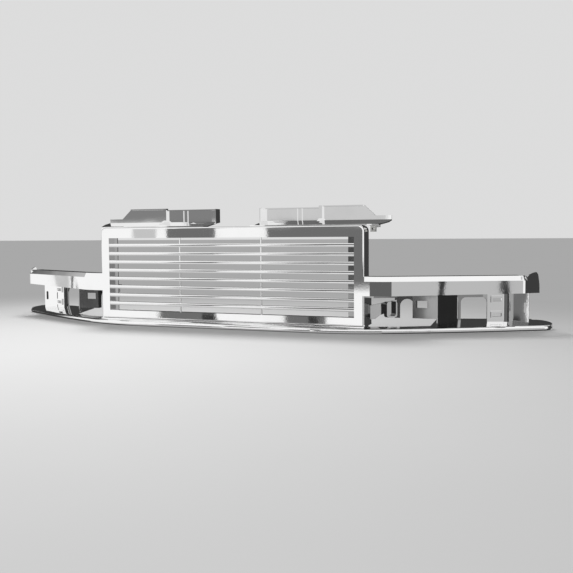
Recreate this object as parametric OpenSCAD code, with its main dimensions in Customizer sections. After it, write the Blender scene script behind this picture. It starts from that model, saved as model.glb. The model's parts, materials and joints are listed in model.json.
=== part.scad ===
// Front grille for a pickup truck: a slatted centre surround, two swept wing bars,
// a full-width lower lip, lamp carriers below the bars and two upper brackets.
// Units are millimetres, +Z is up and the grille faces -Y.

/* [Part choice] */
// which piece to draw

/* [Slatted opening] */
// clear width between the side stiles
opening_w = 710; // [500:1:900]
// clear height between the rails
opening_h = 200; // [120:1:260]
// number of horizontal slats
slat_count = 8; // [8:1:8]
// distance from one slat to the next
slat_pitch = 22.9; // [16:0.1:30]
// height of one slat's front face
slat_h = 9.3; // [5:0.1:14]
// depth of one slat from front to back
slat_d = 13; // [8:0.5:20]
// gap between the bottom rail and the lowest slat
slat_first = 14.5; // [8:0.1:20]

/* [Surround] */
// width of each side stile
stile_w = 26; // [15:0.5:45]
// height of the top rail
top_rail_h = 28.5; // [15:0.5:45]
// height of the bottom rail's face
bottom_rail_h = 21.5; // [10:0.5:40]
// radius of the surround's upper corners
corner_r = 15; // [6:0.5:40]
// radius of the rounded front edge
edge_r = 4; // [1:0.5:6]
// thickness of moulded walls
wall_t = 3; // [2:0.5:5]
// depth of the surround's skirt above the wing bars
skirt_d = 42; // [25:1:70]
// depth of the surround's skirt beside the lamp carriers
skirt_low_d = 66; // [42:1:90]

/* [Support rods] */
// rod diameter
rod_d = 4; // [3:0.5:6]
// radial clearance of each rod in its slat hole
rod_play = 0.3; // [0.2:0.05:0.6]
// left rod's distance from the centre line
rod_left_x = 135; // [80:1:200]
// right rod's distance from the centre line
rod_right_x = 103; // [80:1:200]
// rod centre behind the surround's face
rod_y = 8; // [6:0.5:12]

/* [Wing bars] */
// lower edge of the bar at the surround
bar_z0 = 93; // [70:0.5:120]
// rise of the lower edge from the surround to the tip
bar_rise = 4; // [0:0.5:10]
// height where the flat face turns into the top bevel
bar_face_z = 128.5; // [100:0.5:150]
// top of the bar
bar_z1 = 140.5; // [110:0.5:170]
// depth of the sloping top bevel
bar_bevel = 6; // [2:0.5:15]
// depth of the top flange
bar_flange_d = 40; // [20:1:60]
// sweep angle of the bar
bar_sweep = 23.6; // [10:0.1:35]
// radius of the bend next to the surround
bar_bend_r = 130; // [90:5:200]
// length of the straight swept part
bar_len = 320; // [200:1:420]
// radius of the bar's outer corner
tip_r = 22; // [12:1:40]
// direction of the wrap-around end
tip_angle = 68; // [45:1:88]
// length of the wrap-around end
tip_len = 58; // [30:1:90]
// depth of the top flange round the outer corner
tip_flange_d = 12; // [9:0.5:18]

/* [Lower lip] */
// radius of the rounded front bead
bead_r = 6.7; // [4:0.1:12]
// bead front ahead of the surround's face at the middle
lip_lead = 31; // [15:1:50]
// half length of the straight middle part
lip_half = 250; // [150:1:340]
// rise of the shelf per millimetre behind the bead
shelf_slope = 0.125; // [0:0.005:0.3]
// radius of the shelf's rounded end
lip_end_r = 34; // [25:1:60]

/* [Upper brackets] */
// distance of the upright plate behind the surround's face
bracket_y = 112; // [80:1:140]
// inner end of each bracket from the centre line
bracket_x0 = 68; // [40:1:120]
// outer end of each bracket from the centre line
bracket_x1 = 422; // [400:1:440]
// top of the outer upright plate
bracket_z1 = 320.5; // [300:0.5:340]
// radius of the screw hole in each corner clip
clip_bore_r = 2.6; // [1.5:0.1:4]

/* [Hidden] */
$fn = 96;
chrome = [0.84, 0.85, 0.87];
bright = [0.93, 0.93, 0.94];
shade = [0.55, 0.56, 0.58];
steel = [0.62, 0.62, 0.60];
e = 0.01;

// main levels and half widths
open_z0 = 38.5;
open_z1 = open_z0 + opening_h;
half_open = opening_w / 2;
half_w = half_open + stile_w;
frame_z0 = open_z0 - bottom_rail_h;
frame_z1 = open_z1 + top_rail_h;
strip_y = 1 + slat_d;

// the front face stands this far ahead of the middle of the whole part
face_y = -117.6;

// lip path: straight, tight bend, wide bend, straight, rounded end
lip_y0 = -lip_lead;
r1 = 450;
a1 = 22.8;
r2 = 2000;
a2 = 31;
c1 = [lip_half, lip_y0 + r1];
p1 = [c1[0] + r1 * sin(a1), c1[1] - r1 * cos(a1)];
c2 = [p1[0] - r2 * sin(a1), p1[1] + r2 * cos(a1)];
p2 = [c2[0] + r2 * sin(a2), c2[1] - r2 * cos(a2)];
end_run = 130;
p3 = [p2[0] + end_run * cos(a2), p2[1] + end_run * sin(a2)];
c3 = [p3[0] - lip_end_r * sin(a2), p3[1] + lip_end_r * cos(a2)];
shelf_d = 104;

// bar path: short flat run, bend, straight run, corner, wrap-around end
bar_x0 = half_w;
bend_x = half_w + 14;
b1 = [bend_x + bar_bend_r * sin(bar_sweep), bar_bend_r * (1 - cos(bar_sweep))];
b2 = [b1[0] + bar_len * cos(bar_sweep), b1[1] + bar_len * sin(bar_sweep)];
tc = [b2[0] - tip_r * sin(bar_sweep), b2[1] + tip_r * cos(bar_sweep)];
b3 = [tc[0] + tip_r * sin(tip_angle), tc[1] - tip_r * cos(tip_angle)];
deck_z = 100;

// places every piece in the common frame
module placed(side) {
  mirror([side < 0 ? 1 : 0, 0, 0])
    translate([0, face_y, 0])
      children();
}

function unit(v) = v / norm(v);
function turned(v) = [-v[1], v[0]];

// direction along a path at point i
function heading(pts, i) = unit(pts[min(i + 1, len(pts) - 1)] - pts[min(i, len(pts) - 2)]);

// point i of a path moved t sideways, with mitred corners
function shifted(pts, i, t) =
  let (u = turned(heading(pts, max(i - 1, 0))), v = turned(heading(pts, i)))
  pts[i] + t * (u + v) / (1 + u * v);

// vertical wall of thickness t that follows a path in plan
module wall(pts, t, z0, z1) {
  last = len(pts) - 1;
  translate([0, 0, z0])
    linear_extrude(z1 - z0)
      polygon(concat(pts, [for (i = [last:-1:0]) shifted(pts, i, t)]));
}

// vertical plate whose front runs from point p to point q
module panel(p, q, t, z0, z1) {
  d = q - p;
  translate([p[0], p[1], z0])
    rotate([0, 0, atan2(d[1], d[0])])
      cube([norm(d), t, z1 - z0]);
}

// drawing plane of an upright plate: x runs along the plate, y is height
module upright(p, a, y0, t) {
  translate([p[0], p[1], 0])
    rotate([0, 0, a])
      translate([0, y0 + t, 0])
        rotate([90, 0, 0])
          linear_extrude(t)
            children();
}

// extrudes a cross-section drawn as (depth, height) along a straight run
module run(p, a, len) {
  translate([p[0], p[1], 0])
    rotate([0, 0, a])
      rotate([90, 0, 90])
        linear_extrude(len)
          children();
}

// sweeps the same kind of cross-section round a bend of radius r
module bend(c, r, a0, a1) {
  translate([c[0], c[1], 0])
    rotate([0, 0, a0 - 90])
      rotate_extrude(angle = a1 - a0, $fn = 120)
        translate([r, 0])
          mirror([1, 0])
            children();
}

// rectangle with rounded corners, as x, y, width, height and radius
module round_rect(x, y, w, h, r) {
  translate([x + r, y]) square([w - 2 * r, h]);
  translate([x, y + r]) square([w, h - 2 * r]);
  for (i = [r, w - r], j = [r, h - r])
    translate([x + i, y + j]) circle(r);
}

// rectangle with only its upper corners rounded
module arch_rect(x, y, w, h, r) {
  square_h = h - r;
  translate([x, y]) square([w, square_h]);
  translate([x + r, y]) square([w - 2 * r, h]);
  for (i = [r, w - r])
    translate([x + i, y + square_h]) circle(r);
}

// ---- centre surround ----

// outline of the surround, smaller by g on every side
module frame_outline(g) {
  arch_rect(-half_w + g, frame_z0 + g, 2 * (half_w - g), frame_z1 - frame_z0 - 2 * g, corner_r - g);
}

// rounded front edge that follows the sides and the top
module frame_edge() {
  k = corner_r - edge_r;
  x = half_w - corner_r;
  z = frame_z1 - corner_r;
  for (s = [-1, 1])
    translate([s * (half_w - edge_r), edge_r, frame_z0 + edge_r])
      cylinder(r = edge_r, h = z - frame_z0 - edge_r);
  for (h = [frame_z0 + edge_r, frame_z1 - edge_r])
    translate([h > 100 ? -x : -half_w + edge_r, edge_r, h])
      rotate([0, 90, 0])
        cylinder(r = edge_r, h = h > 100 ? 2 * x : 2 * (half_w - edge_r));
  for (s = [-1, 1])
    translate([s * x, edge_r, z])
      rotate([90, 0, 0])
        rotate([0, 0, s > 0 ? 0 : 90])
          rotate_extrude(angle = 90)
            translate([k, 0])
              circle(edge_r);
}

module surround_frame() {
  color(chrome)
    placed(1)
      difference() {
        union() {
          rotate([90, 0, 0])
            translate([0, 0, -skirt_d])
              linear_extrude(skirt_d - edge_r)
                frame_outline(0);
          rotate([90, 0, 0])
            translate([0, 0, -edge_r - 1])
              linear_extrude(edge_r + 1)
                frame_outline(edge_r);
          frame_edge();
          // square shoulders that run on into the wing bars
          for (s = [-1, 1])
            translate([s > 0 ? half_w - 12 : -half_w, 0, bar_z0])
              cube([12, 20, bar_z1 - bar_z0]);
          // deeper cheeks beside the lamp carriers
          for (s = [-1, 1])
            translate([s > 0 ? half_w - wall_t : -half_w, 30, frame_z0])
              cube([wall_t, skirt_low_d - 30, bar_face_z - frame_z0]);
        }
        // slatted opening
        translate([-half_open, -1, open_z0])
          cube([opening_w, 200, opening_h]);
        // hollow behind the face, outside the collar round the opening
        difference() {
          rotate([90, 0, 0])
            translate([0, 0, -200])
              linear_extrude(200 - wall_t)
                frame_outline(wall_t);
          translate([-half_open - wall_t, 0, open_z0 - wall_t])
            cube([opening_w + 2 * wall_t, strip_y + wall_t, opening_h + 2 * wall_t]);
        }
      }
}

// ---- slats, rods and end strips ----

// cross-section of a slat: flat sides and a softly crowned front
module slat_section() {
  intersection() {
    square([slat_d, slat_h]);
    translate([9.5, slat_h / 2]) circle(9.5);
  }
  translate([5, 0]) square([slat_d - 5, slat_h]);
}

module slat(i) {
  z = open_z0 + slat_first + (slat_count - i) * slat_pitch;
  color(i % 2 == 0 ? chrome : bright)
    placed(1)
      difference() {
        translate([0, 1, z])
          run([-half_open, 0], 0, opening_w)
            slat_section();
        for (x = [-rod_left_x, rod_right_x])
          translate([x, rod_y, z - 1])
            cylinder(d = rod_d + 2 * rod_play, h = slat_h + 2, $fn = 48);
      }
}

module support_rod(x) {
  color(bright)
    placed(1)
      translate([x, rod_y, open_z0])
        cylinder(d = rod_d, h = opening_h, $fn = 48);
}

module slat_end_strip(side) {
  color(shade)
    placed(side)
      translate([half_open - 19, strip_y, open_z0])
        cube([19, wall_t, opening_h]);
}

// ---- wing bars ----

// C-shaped cross-section of a bar with its sloping top bevel
module bar_section() {
  t = wall_t;
  polygon([
    [0, bar_z0],
    [0, bar_face_z],
    [bar_bevel, bar_z1],
    [bar_flange_d, bar_z1],
    [bar_flange_d, bar_z1 - t],
    [bar_bevel + 1.9, bar_z1 - t],
    [t, bar_face_z - 0.6],
    [t, deck_z],
    [25, deck_z],
    [25, deck_z - t],
    [t, deck_z - t],
    [t, bar_z0]
  ]);
}

// cross-section of the bar's rounded outer corner
module tip_section() {
  t = wall_t;
  polygon([
    [0, bar_z0 + bar_rise],
    [0, bar_face_z],
    [bar_bevel, bar_z1],
    [tip_flange_d, bar_z1],
    [tip_flange_d, bar_z1 - t],
    [bar_bevel + 1.9, bar_z1 - t],
    [t, bar_face_z - 0.6],
    [t, bar_z0 + bar_rise]
  ]);
}

// upright rib across the channel at point p
module bar_rib(p, a, len) {
  translate([p[0], p[1], deck_z - 2])
    rotate([0, 0, a])
      translate([-1.5, 1, 0])
        cube([3, len, bar_z1 - deck_z]);
}

module wing_bar(side) {
  color(chrome)
    placed(side)
      union() {
        run([bar_x0, 0], 0, bend_x - bar_x0)
          bar_section();
        bend([bend_x, bar_bend_r], bar_bend_r, 0, bar_sweep)
          bar_section();
        difference() {
          run(b1, bar_sweep, bar_len)
            bar_section();
          // the lower edge rises towards the tip
          upright(b1, bar_sweep, -2, wall_t + 4)
            polygon([
              [0, bar_z0 - 5],
              [1.1 * bar_len, bar_z0 - 5],
              [1.1 * bar_len, bar_z0 + 1.1 * bar_rise],
              [0, bar_z0]
            ]);
        }
        bar_rib(b2, bar_sweep, 19);
        bend(tc, tip_r, bar_sweep, tip_angle)
          tip_section();
        bar_rib(b3, tip_angle, 9);
        // wrap-around end with its raised rear corner
        upright(b3, tip_angle, 0, wall_t)
          polygon([
            [0, bar_z0 + bar_rise],
            [tip_len + 8, bar_z0 + 1],
            [tip_len + 7, bar_z0 + 24],
            [tip_len, bar_z1],
            [tip_len - 8, bar_z1 + 6.5],
            [tip_len - 22, bar_z1 + 5.5],
            [10, bar_z1 + 1],
            [0, bar_z1 - 4]
          ]);
      }
}

// ---- lower lip ----

// rounded front bead with the sloping shelf behind it
module lip_section(depth) {
  top = 2 * bead_r;
  rise = shelf_slope * (depth - bead_r);
  bead = [for (i = [0:9]) [bead_r - bead_r * sin(i * 20), bead_r + bead_r * cos(i * 20)]];
  tail = [
    [bead_r + 3, 0.6],
    [bead_r + 3, top - wall_t],
    [depth, top + rise - wall_t],
    [depth, top + rise]
  ];
  polygon(concat(bead, tail));
}

// space below the shelf's upper surface, a little larger than the lip
module shelf_fill_section() {
  top = 2 * bead_r;
  end = shelf_d + 60;
  polygon([[-5, -5], [-5, top], [bead_r, top], [end, top + shelf_slope * (end - bead_r)], [end, -5]]);
}

module shelf_space() {
  bend(c1, r1, 0, a1)
    shelf_fill_section();
  bend(c2, r2, a1 - 0.02, a2)
    shelf_fill_section();
  run(p2 - [1, tan(a2)], a2, end_run + 60)
    shelf_fill_section();
}

// stiffening rib under the shelf, across the path at point p
module lip_rib(p, a, len) {
  translate([p[0], p[1], 0])
    rotate([0, 0, a])
      translate([-2, 4, 3])
        cube([4, len, 2 * bead_r - 4]);
}

// rounded end of the shelf: bead, tilted skin and a low wall round the back
module lip_end() {
  top = 2 * bead_r;
  rise = shelf_slope * (shelf_d - bead_r);
  bend(c3, lip_end_r, a2, 84)
    lip_section(15);
  intersection() {
    run(p3, a2, lip_end_r + 5)
      polygon([
        [bead_r, top - wall_t],
        [bead_r, top],
        [shelf_d, top + rise],
        [shelf_d, top + rise - wall_t]
      ]);
    translate([c3[0], c3[1], 0])
      cylinder(r = lip_end_r - 1.5, h = 60);
  }
  intersection() {
    run(p3, a2, lip_end_r + 5)
      polygon([[-2, 1], [-2, top], [bead_r, top], [shelf_d, top + rise], [shelf_d, 1]]);
    bend(c3, lip_end_r - 0.4, 80, 180 + a2)
      square([wall_t, 60]);
  }
}

module lip_wing() {
  intersection() {
    union() {
      bend(c1, r1, 0, a1) lip_section(shelf_d);
      bend(c2, r2, a1, a2) lip_section(shelf_d);
      run(p2, a2, end_run) lip_section(shelf_d);
      lip_end();
      lip_rib(p1, a1, 70);
      lip_rib(p2, a2, 50);
      lip_rib(p3, a2, 34);
    }
    // trims the shelf clear of the surround, under the arch window and along its rear edge
    translate([0, 0, -10])
      linear_extrude(60)
        polygon([
          [lip_half - e, -60],
          [lip_half - e, -0.5],
          [half_w + 0.5, -0.5],
          [half_w + 0.5, 16],
          [455, 43],
          [528, 81],
          [528, 168],
          [765, 272],
          [900, 300],
          [900, -60]
        ]);
  }
}

module lower_lip() {
  color(bright)
    placed(1)
      union() {
        run([-lip_half, lip_y0], 0, 2 * lip_half)
          union() {
            lip_section(lip_lead);
            polygon([
              [lip_lead - 4, 2 * bead_r],
              [lip_lead - 4, frame_z0 - 1],
              [lip_lead - 0.5, frame_z0],
              [lip_lead + 38, frame_z0],
              [lip_lead + 38, frame_z0 - wall_t],
              [lip_lead, frame_z0 - wall_t]
            ]);
          }
        for (s = [0, 1])
          mirror([s, 0, 0]) {
            lip_wing();
            translate([lip_half - e, -4, frame_z0 - wall_t])
              cube([half_w - lip_half + 0.5 + e, 42, wall_t]);
          }
      }
}

// ---- lamp carriers under the bars ----

// line that the carriers follow
l0 = [475, 116];
la = 20.2;
function on_line(s, t) = [l0[0] + s * cos(la) - t * sin(la), l0[1] + s * sin(la) + t * cos(la)];

q_in = [half_w, 86];
q_post = on_line(-38, 12);
q_box0 = [475, 116];
q_box1 = [540, 112];
q_win0 = on_line(120, 14);
q_win1 = on_line(196, 22);
q_lad0 = on_line(190, 4);
q_lad1 = on_line(243, 8);
q_rec = on_line(259, 18);
q_end = on_line(294, 0);
win_top = 81.5;
clip_z0 = 30;

module lamp_carrier(side) {
  head = deck_z + wall_t;
  color(shade)
    placed(side)
      difference() {
        union() {
          // deck that ties the walls to the bar
          translate([0, 0, deck_z])
            linear_extrude(wall_t)
              polygon([
                [half_w, 8],
                [bend_x + 10, 10],
                b1 + [-2, 12],
                b2 + [-14, 12],
                on_line(285, 0),
                on_line(285, 24),
                q_win1 + [4, 6],
                q_win0 + [0, 8],
                on_line(0, 26),
                q_in + [0, 14]
              ]);
          // header beside the surround, the arch window and its posts
          upright(q_in, atan2(q_post[1] - q_in[1], q_post[0] - q_in[0]), 0, wall_t)
            translate([0, win_top])
              square([norm(q_post - q_in), head - win_top]);
          upright(q_post, la, 0, wall_t)
            difference() {
              translate([-6, 30]) square([104, head - 30]);
              translate([8, 0]) arch_rect(0, 20, 36, 58.5, 17.9);
              translate([52, 0]) square([60, 76]);
            }
          panel(on_line(56, 12), q_win0, wall_t, win_top, head);
          // big window wall with rounded upper corners
          upright(q_win0, atan2(q_win1[1] - q_win0[1], q_win1[0] - q_win0[0]), 0, wall_t)
            difference() {
              translate([-2, 10]) square([norm(q_win1 - q_win0) + 4, head - 10]);
              arch_rect(5, 0, norm(q_win1 - q_win0) - 8, win_top, 13);
            }
          // recess wall between the ladder bracket and the outer panel
          panel(q_lad1, q_rec, wall_t, 10, head);
        }
        shelf_space();
      }
}

module clip_plate(side) {
  path = [q_box0 + [0, 12], q_box0, q_box1, q_win0 - [3.4, 4.2]];
  color(bright)
    placed(side)
      difference() {
        wall(path, wall_t, 10, deck_z);
        // the front plate stops above the lip
        translate([470, 100, 0])
          cube([q_box1[0] - 473, 40, clip_z0]);
        // window for a snap retainer
        translate([484, 100, 57])
          cube([29, 40, 18]);
        shelf_space();
      }
}

module ladder_bracket(side) {
  w = norm(q_lad1 - q_lad0);
  end = q_lad1 - 4 * unit(q_lad1 - q_lad0);
  a = atan2(q_lad1[1] - q_lad0[1], q_lad1[0] - q_lad0[0]);
  color(chrome)
    placed(side)
      difference() {
        union() {
          wall([q_win1 + [0.6, -0.4], q_lad0, end], wall_t, 10, deck_z);
          // raised collars round the two slots
          for (z = [67, 28])
            upright(q_lad0, a, -3, 3.5)
              round_rect(9, z, 30, 19, 1.5);
          // bright outer corner
          panel(q_lad1 - [9, 5.5], q_lad1 - [0.5, 4], 5, 12, deck_z);
        }
        for (z = [72, 33])
          upright(q_lad0, a, -10, 20)
            round_rect(12, z, 24, 9, 1);
        shelf_space();
      }
}

module outer_panel(side) {
  w = norm(q_end - q_rec);
  a = atan2(q_end[1] - q_rec[1], q_end[0] - q_rec[0]);
  color(chrome)
    placed(side)
      difference() {
        union() {
          upright(q_rec + [0.6, -0.2], a, 0, wall_t)
            translate([0, 10]) square([w - 0.8, deck_z - 10]);
          // side return of the outer edge
          panel(q_end - [1.5, -1], q_end + [-6, 34], wall_t, 14, deck_z);
        }
        upright(q_rec, a, -10, 30)
          round_rect(w - 13, 41.5, 7, 27, 3.4);
        shelf_space();
      }
}

module side_web(side) {
  p = [half_w, 56];
  q = q_post - [1, 0.5];
  w = norm(q - p);
  b = atan2(q[1] - p[1], q[0] - p[0]);
  color(shade)
    placed(side)
      difference() {
        union() {
          upright(p, b, 0, wall_t)
            polygon([[-4, 30], [-4, 64.5], [w + 4, 77], [w + 4, 52], [30, 40], [14, 30]]);
          // U-shaped boss standing forward of the web
          upright(p, b, -14, 14.5)
            difference() {
              round_rect(w - 38, 33, 31, 41, 7);
              translate([0, 4]) round_rect(w - 34, 33, 23, 45, 5);
            }
          upright(p, b, -3, 3.2)
            round_rect(w - 37, 34, 29, 39, 6);
        }
        // flush with the surround's side and with the carrier's post
        translate([half_w - 20, 40, 20])
          cube([20, 40, 80]);
        translate([q_post[0], q_post[1], 20])
          rotate([0, 0, la])
            translate([-40, 0, 0])
              cube([80, 30, 80]);
      }
}

// ---- upper brackets ----

module upper_bracket(side) {
  t = wall_t;
  x0 = bracket_x0;
  x1 = bracket_x1;
  y1 = bracket_y;
  z0 = frame_z1;
  z1 = bracket_z1;
  step = 4;
  rib_x = 229;
  rib_w = 9;
  color(chrome)
    placed(side)
      difference() {
        union() {
          // bent sheet: foot on the surround, slope and upright plate
          intersection() {
            run([x0, 0], 0, x1 - x0)
              polygon([
                [18, z0],
                [18, z0 + t],
                [42, z0 + t],
                [y1 - t, z0 + 12 + t],
                [y1 - t, 400],
                [y1, 400],
                [y1, z0 + 12],
                [42, z0]
              ]);
            upright([0, 0], 0, 0, 200)
              polygon([
                [x0, z0 - 1],
                [x1, z0 - 1],
                [x1, z1 - 28],
                [x1 - 42, z1 - 28],
                [x1 - 73, z1],
                [rib_x + rib_w, z1],
                [rib_x + rib_w, z1 - step],
                [x0, z1 - step]
              ]);
          }
          // upright rib between the inner and outer plates
          run([rib_x, 0], 0, rib_w)
            polygon([[y1 - 44, z0 + 6], [y1 - 12, z0 + 20], [y1 - 12, z1], [y1, z1], [y1, z0 + 12.5]]);
          // rims along the top of the plates
          translate([x0, y1 - 9, z1 - step - t])
            cube([rib_x - x0 + e, 9, t]);
          translate([rib_x + rib_w - e, y1 - 9, z1 - t])
            cube([x1 - 74 - rib_x - rib_w, 9, t]);
          // inner end wall
          run([x0 - t, 0], 0, t + e)
            polygon([[y1 - 26, z0 + 9], [y1 - 26, z1 - step], [y1, z1 - step], [y1, z0 + 12]]);
          // two small stiffening ribs
          for (x = [164, 177])
            translate([x, y1 - 6, z0 + 13])
              cube([2.4, 4, z1 - step - 2 - 13 - z0]);
          // web that carries the overhang beyond the surround
          upright([0, 0], 0, 44, t)
            polygon([
              [half_w - 8, z0],
              [x1, z0 + 1],
              [x1 - 6, z0 - 5],
              [half_w + 21, z0 - 5.5],
              [half_w + 1, z0 - 5.5],
              [half_w + 1, z0]
            ]);
        }
        // the overhang's front corner is cut back towards the surround
        translate([0, 0, z0 - 20])
          linear_extrude(60)
            polygon([
              [half_w + 1.5, -1],
              [half_w + 1.5, 40],
              [half_w + 26, 40],
              [x1 + 2, 88],
              [x1 + 2, -1]
            ]);
        // retainer notch in the slope
        translate([98, y1 - 34, z0 - 5])
          cube([44, 22, 30]);
      }
}

module corner_clip(side) {
  x = half_w + 11;
  z = frame_z1 - 9;
  color(steel)
    placed(side)
      difference() {
        union() {
          // folded spring clip pushed over the web's lower edge
          translate([x - 7, 42.6, z - 7.4])
            cube([14, wall_t + 2.8, 14.8]);
          // threaded barrel on the rear leg
          translate([x, 54, z])
            rotate([90, 0, 0])
              cylinder(d = 9, h = 6, $fn = 48);
        }
        translate([x - 8, 44, z - 6])
          cube([16, wall_t, 14]);
        translate([x, 60, z])
          rotate([90, 0, 0])
            cylinder(r = clip_bore_r, h = 40, $fn = 48);
      }
}

surround_frame();
slat(1);  // slat_1
slat(2);  // slat_2
slat(3);  // slat_3
slat(4);  // slat_4
slat(5);  // slat_5
slat(6);  // slat_6
slat(7);  // slat_7
slat(8);  // slat_8
support_rod(-rod_left_x);  // support_rod_left
support_rod(rod_right_x);  // support_rod_right
slat_end_strip(-1);  // slat_end_strip_left
slat_end_strip(1);  // slat_end_strip_right
wing_bar(-1);  // wing_bar_left
wing_bar(1);  // wing_bar_right
lower_lip();
side_web(-1);  // side_web_left
side_web(1);  // side_web_right
lamp_carrier(-1);  // lamp_carrier_left
lamp_carrier(1);  // lamp_carrier_right
clip_plate(-1);  // clip_plate_left
clip_plate(1);  // clip_plate_right
ladder_bracket(-1);  // ladder_bracket_left
ladder_bracket(1);  // ladder_bracket_right
outer_panel(-1);  // outer_panel_left
outer_panel(1);  // outer_panel_right
upper_bracket(-1);  // upper_bracket_left
upper_bracket(1);  // upper_bracket_right
corner_clip(-1);  // corner_clip_left
corner_clip(1);  // corner_clip_right
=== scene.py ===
"""Looks of the chrome front grille: plated materials, softened edges, studio surroundings and camera."""

import json
import math

import bpy
from mathutils import Matrix, Vector

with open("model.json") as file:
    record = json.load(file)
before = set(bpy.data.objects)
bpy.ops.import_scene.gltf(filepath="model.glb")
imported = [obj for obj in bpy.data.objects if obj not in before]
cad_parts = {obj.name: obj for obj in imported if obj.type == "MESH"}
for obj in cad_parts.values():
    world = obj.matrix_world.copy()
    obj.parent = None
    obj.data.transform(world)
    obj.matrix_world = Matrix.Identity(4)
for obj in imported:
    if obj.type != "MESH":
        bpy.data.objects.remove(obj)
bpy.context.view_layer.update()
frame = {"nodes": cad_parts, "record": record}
nodes = frame["nodes"]

# camera: where it stands, in metres, and how it is turned, in degrees
CAMERA_AT = Vector((0.9292, -2.0040, 0.2474))
CAMERA_YAW = 21.759
CAMERA_PITCH = 3.780
CAMERA_ROLL = -0.431
CAMERA_LENS = 50.25

# half of the floor's side, in metres
FLOOR_HALF = 30.0

# width of the rounding on moulded edges, in metres
EDGE_WIDTH = 0.0008

# brightness of the plain backdrop
BACKDROP = 0.72

# screens between the studio's soft boxes: heading from and to, height from and to and softness, in degrees,
# then brightness
SCREENS = (
    # left gap: behind the top rail, the slats and the left bracket
    (26.9, 30.2, -8.5, 34.0, 0.1, 0.17),
    (29.8, 30.9, -8.5, -4.5, 0.1, 0.17),
    (26.5, 36.0, 0.75, 3.2, 0.2, 0.24),
    (31.0, 32.6, -1.5, 0.6, 0.1, 0.62),
    (27.0, 27.7, -6.5, -5.7, 0.05, 0.04),
    # right gap, narrower towards the floor
    (14.9, 23.2, -3.9, 34.0, 0.1, 0.17),
    (18.9, 21.9, -8.5, -3.9, 0.1, 0.17),
    (19.5, 20.2, -6.5, -5.7, 0.05, 0.04),
    (14.5, 24.0, 0.75, 3.2, 0.15, 0.66),
    # to the right: dark wall, then a light grey screen with two thin black stands
    (-32.0, 15.4, -8.0, -2.2, 0.2, 0.13),
    (-60.0, -32.0, -9.0, -1.8, 0.2, 0.55),
    (-36.6, -36.15, -9.0, -1.8, 0.05, 0.04),
    (-41.0, -40.5, -9.0, -1.8, 0.05, 0.02),
    # far left: pale panel and its thin dark edge
    (84.2, 85.0, -4.4, -2.2, 0.05, 0.6),
    (83.8, 84.05, -4.4, -2.2, 0.03, 0.1),
)


# ---------------------------------------------------------------- shader helpers


class Graph:
    """A node tree with short calls for the few kinds of node that this scene uses."""

    def __init__(self, tree):
        self.tree = tree
        tree.nodes.clear()

    def add(self, kind, **values):
        node = self.tree.nodes.new(kind)
        for name, value in values.items():
            setattr(node, name, value)
        return node

    def feed(self, socket, value):
        if isinstance(value, bpy.types.NodeSocket):
            self.tree.links.new(value, socket)
        elif value is not None:
            socket.default_value = value

    def math(self, operation, a, b=None, c=None, clamp=False):
        node = self.add("ShaderNodeMath", operation=operation, use_clamp=clamp)
        for socket, value in zip(node.inputs, (a, b, c)):
            self.feed(socket, value)
        return node.outputs[0]

    def ramp(self, value, start, end, low=0.0, high=1.0):
        """Smooth change from low to high while value goes from start to end."""
        node = self.add("ShaderNodeMapRange", interpolation_type="SMOOTHSTEP")
        for socket, number in zip(node.inputs, (value, start, end, low, high)):
            self.feed(socket, number)
        return node.outputs[0]

    def band(self, value, start, end, soft):
        """1 between start and end, 0 outside, with soft edges."""
        rise = self.ramp(value, start - soft, start + soft)
        fall = self.ramp(value, end - soft, end + soft)
        return self.math("SUBTRACT", rise, fall)

    def noise(self, vector, scale, detail=2.0, roughness=0.5):
        node = self.add("ShaderNodeTexNoise")
        self.feed(node.inputs["Vector"], vector)
        node.inputs["Scale"].default_value = scale
        node.inputs["Detail"].default_value = detail
        node.inputs["Roughness"].default_value = roughness
        return node.outputs["Fac"]

    def mix(self, factor, a, b):
        node = self.add("ShaderNodeMix", data_type="RGBA")
        self.feed(node.inputs["Factor"], factor)
        self.feed(node.inputs[6], a)
        self.feed(node.inputs[7], b)
        return node.outputs[2]

    def bump(self, height, strength, distance, normal=None):
        node = self.add("ShaderNodeBump")
        node.inputs["Strength"].default_value = strength
        node.inputs["Distance"].default_value = distance
        self.feed(node.inputs["Height"], height)
        self.feed(node.inputs["Normal"], normal)
        return node.outputs["Normal"]


def grey(value):
    return (value, value, value, 1.0)


# ---------------------------------------------------------------- materials


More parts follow.
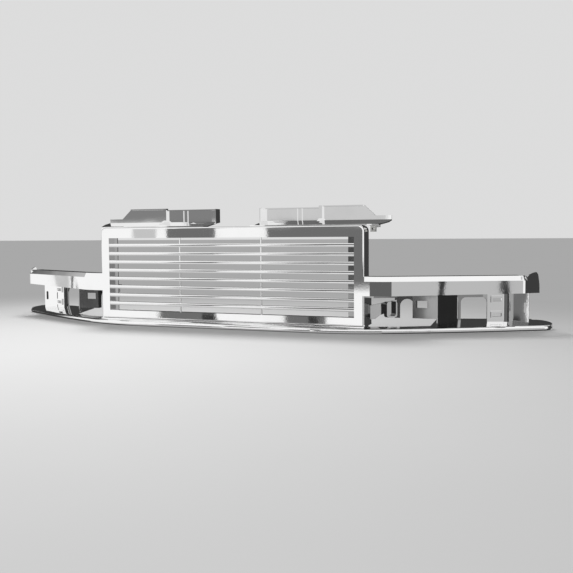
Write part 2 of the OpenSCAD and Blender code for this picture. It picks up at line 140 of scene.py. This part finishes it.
def plated(name, bright, dull, rough, haze, wave, dust):
    """Plated plastic: slow waviness of the moulding, faint haze patches and dust on upward faces.

    bright and dull are the colours of clean and hazed plating, rough is the clean roughness, haze what a
    patch adds to it, wave the height of the waviness in metres and dust the strength of the dust.
    """
    material = bpy.data.materials.new(name)
    material.use_nodes = True
    g = Graph(material.node_tree)
    place = g.add("ShaderNodeTexCoord").outputs["Object"]
    output = g.add("ShaderNodeOutputMaterial")
    shader = g.add("ShaderNodeBsdfPrincipled")
    shader.inputs["Metallic"].default_value = 1.0

    patches = g.ramp(g.noise(place, 9.0, 4.0, 0.6), 0.45, 0.75)
    specks = g.ramp(g.noise(place, 900.0, 2.0, 0.6), 0.66, 0.78)
    up = g.add("ShaderNodeSeparateXYZ")
    g.feed(up.inputs[0], g.add("ShaderNodeNewGeometry").outputs["Normal"])
    settled = g.math("MULTIPLY", g.ramp(up.outputs["Z"], 0.4, 1.0), g.math("MULTIPLY", specks, dust))

    tone = g.mix(g.math("MULTIPLY", patches, 0.6), bright, dull)
    g.feed(shader.inputs["Base Color"], g.mix(settled, tone, grey(0.35)))
    fine = g.math("MULTIPLY", g.noise(place, 60.0, 3.0, 0.6), haze * 0.5)
    hazed = g.math("MULTIPLY_ADD", patches, haze, rough)
    dusty = g.math("MULTIPLY_ADD", settled, 0.3, hazed)
    g.feed(shader.inputs["Roughness"], g.math("ADD", fine, dusty))

    slow = g.bump(g.noise(place, 14.0, 1.0, 0.4), 1.0, wave)
    g.feed(shader.inputs["Normal"], g.bump(g.noise(place, 260.0, 2.0, 0.5), 0.25, 0.00002, slow))
    g.feed(output.inputs["Surface"], shader.outputs[0])
    return material


def spring_steel():
    """Zinc-coated sheet: fine brushing along the strip and darker mottling."""
    material = bpy.data.materials.new("spring_steel")
    material.use_nodes = True
    g = Graph(material.node_tree)
    place = g.add("ShaderNodeTexCoord").outputs["Object"]
    stretched = g.add("ShaderNodeMapping")
    g.feed(stretched.inputs["Vector"], place)
    stretched.inputs["Scale"].default_value = (1.0, 1.0, 14.0)
    output = g.add("ShaderNodeOutputMaterial")
    shader = g.add("ShaderNodeBsdfPrincipled")
    shader.inputs["Metallic"].default_value = 1.0
    lines = g.noise(stretched.outputs[0], 420.0, 3.0, 0.7)
    mottle = g.ramp(g.noise(place, 220.0, 3.0, 0.6), 0.4, 0.7)
    g.feed(shader.inputs["Base Color"], g.mix(mottle, (0.52, 0.52, 0.5, 1.0), (0.3, 0.3, 0.29, 1.0)))
    g.feed(shader.inputs["Roughness"], g.math("MULTIPLY_ADD", lines, 0.25, 0.28))
    g.feed(shader.inputs["Normal"], g.bump(lines, 0.3, 0.00004))
    g.feed(output.inputs["Surface"], shader.outputs[0])
    return material


MATERIALS = {
    "face_chrome": plated("face_chrome", grey(0.87), grey(0.82), 0.015, 0.02, 0.00014, 0.25),
    "slat_chrome": plated("slat_chrome", grey(0.86), grey(0.80), 0.025, 0.03, 0.0001, 0.25),
    "lip_chrome": plated("lip_chrome", grey(0.87), grey(0.80), 0.05, 0.06, 0.0003, 0.35),
    # inner walls and recesses: the same chrome with a much darker colour, as painted shade of the recesses
    "inner_chrome": plated("inner_chrome", grey(0.36), grey(0.28), 0.05, 0.06, 0.0002, 0.35),
    "spring_steel": spring_steel(),
}


def soften(node, width):
    """Moulded edges are never sharp: a small rounded bevel on edges sharper than the angle limit, with
    hardened normals.
    """
    bevel = node.modifiers.new("soft_edges", "BEVEL")
    bevel.width = width
    bevel.segments = 2
    bevel.limit_method = "ANGLE"
    bevel.angle_limit = math.radians(35)
    bevel.harden_normals = True


for row in frame["record"]["subparts"]:
    node = nodes[row["node"]]
    node.data.materials.clear()
    node.data.materials.append(MATERIALS[row["material_slot"]])
    soften(node, EDGE_WIDTH)


# ---------------------------------------------------------------- surroundings


def surroundings():
    """Pale and even to the eye; in reflections, a white studio with screens between its soft boxes.

    heading is in degrees to the left of straight ahead of the grille, height in degrees above the horizon.
    """
    world = bpy.data.worlds.new("studio")
    bpy.context.scene.world = world
    world.use_nodes = True
    g = Graph(world.node_tree)
    split = g.add("ShaderNodeSeparateXYZ")
    g.feed(split.inputs[0], g.add("ShaderNodeTexCoord").outputs["Generated"])
    x, y, z = split.outputs
    turn = g.math("ARCTAN2", g.math("MULTIPLY", x, -1.0), g.math("MULTIPLY", y, -1.0))
    heading = g.math("DEGREES", turn)
    height = g.math("DEGREES", g.math("ARCSINE", z))

    # in front: white up to the ceiling, pale floor that gets darker under the object
    seen = g.mix(g.ramp(height, 58.0, 78.0), grey(1.05), grey(0.5))
    seen = g.mix(g.ramp(height, -9.0, -24.0), seen, grey(0.72))
    seen = g.mix(g.ramp(height, -24.0, -60.0), seen, grey(0.3))
    for start, end, low, high, soft, tone in SCREENS:
        across = g.band(heading, start, end, soft)
        inside = g.math("MULTIPLY", across, g.band(height, low, high, 0.25 + soft))
        seen = g.mix(inside, seen, grey(tone))
    # behind: dark, with light overhead and a pale strip to the left, just under the horizon
    rear = g.mix(g.ramp(height, 30.0, 60.0), grey(0.05), grey(0.7))
    strip = g.math("MULTIPLY", g.ramp(heading, 60.0, 80.0), g.band(height, -4.9, -0.6, 0.3))
    rear = g.mix(strip, rear, grey(0.9))
    seen = g.mix(g.ramp(g.math("ABSOLUTE", heading), 88.0, 96.0), seen, rear)

    path = g.add("ShaderNodeLightPath")
    glossy = g.add("ShaderNodeBackground")
    g.feed(glossy.inputs["Color"], seen)
    plain = g.add("ShaderNodeBackground")
    plain.inputs["Color"].default_value = grey(BACKDROP)
    choice = g.add("ShaderNodeMixShader")
    g.feed(choice.inputs[0], path.outputs["Is Glossy Ray"])
    g.feed(choice.inputs[1], plain.outputs[0])
    g.feed(choice.inputs[2], glossy.outputs[0])
    g.feed(g.add("ShaderNodeOutputWorld").inputs["Surface"], choice.outputs[0])


def floor():
    """Pale matt floor under the lip."""
    mesh = bpy.data.meshes.new("floor")
    half = FLOOR_HALF
    corners = [(-half, -half, 0), (half, -half, 0), (half, half, 0), (-half, half, 0)]
    mesh.from_pydata(corners, [], [(0, 1, 2, 3)])
    plane = bpy.data.objects.new("floor", mesh)
    bpy.context.scene.collection.objects.link(plane)
    material = bpy.data.materials.new("pale_floor")
    material.use_nodes = True
    g = Graph(material.node_tree)
    shader = g.add("ShaderNodeBsdfDiffuse")
    place = g.add("ShaderNodeTexCoord").outputs["Object"]
    g.feed(shader.inputs["Color"], g.mix(g.noise(place, 3.0, 3.0), grey(0.56), grey(0.54)))
    g.feed(g.add("ShaderNodeOutputMaterial").inputs["Surface"], shader.outputs[0])
    mesh.materials.append(material)
    plane.visible_glossy = False


def soft_light(name, at, target, size, power):
    """Square area light that points at target."""
    data = bpy.data.lights.new(name, "AREA")
    data.size = size
    data.spread = math.radians(64)
    data.energy = power
    lamp = bpy.data.objects.new(name, data)
    lamp.location = at
    lamp.rotation_euler = (Vector(target) - Vector(at)).to_track_quat("-Z", "Y").to_euler()
    lamp.visible_glossy = False
    bpy.context.scene.collection.objects.link(lamp)


def camera():
    yaw, pitch, roll = (math.radians(a) for a in (CAMERA_YAW, CAMERA_PITCH, CAMERA_ROLL))
    ahead = Vector((-math.sin(yaw) * math.cos(pitch), math.cos(yaw) * math.cos(pitch), -math.sin(pitch)))
    level = Vector((math.cos(yaw), math.sin(yaw), 0.0))
    above = level.cross(ahead)
    right = math.cos(roll) * level + math.sin(roll) * above
    up = math.cos(roll) * above - math.sin(roll) * level
    data = bpy.data.cameras.new("camera")
    data.lens = CAMERA_LENS
    data.sensor_width = 36.0
    data.clip_start = 0.05
    data.clip_end = 200.0
    eye = bpy.data.objects.new("camera", data)
    turn = Matrix((right, up, -ahead)).transposed()
    eye.matrix_world = Matrix.Translation(CAMERA_AT) @ turn.to_4x4()
    bpy.context.scene.collection.objects.link(eye)
    bpy.context.scene.camera = eye


surroundings()
floor()
soft_light("key_light", (-0.9, 1.1, 2.4), (0.0, -1.1, 0.0), 0.9, 14.0)
camera()
bpy.context.scene.view_settings.view_transform = "Standard"
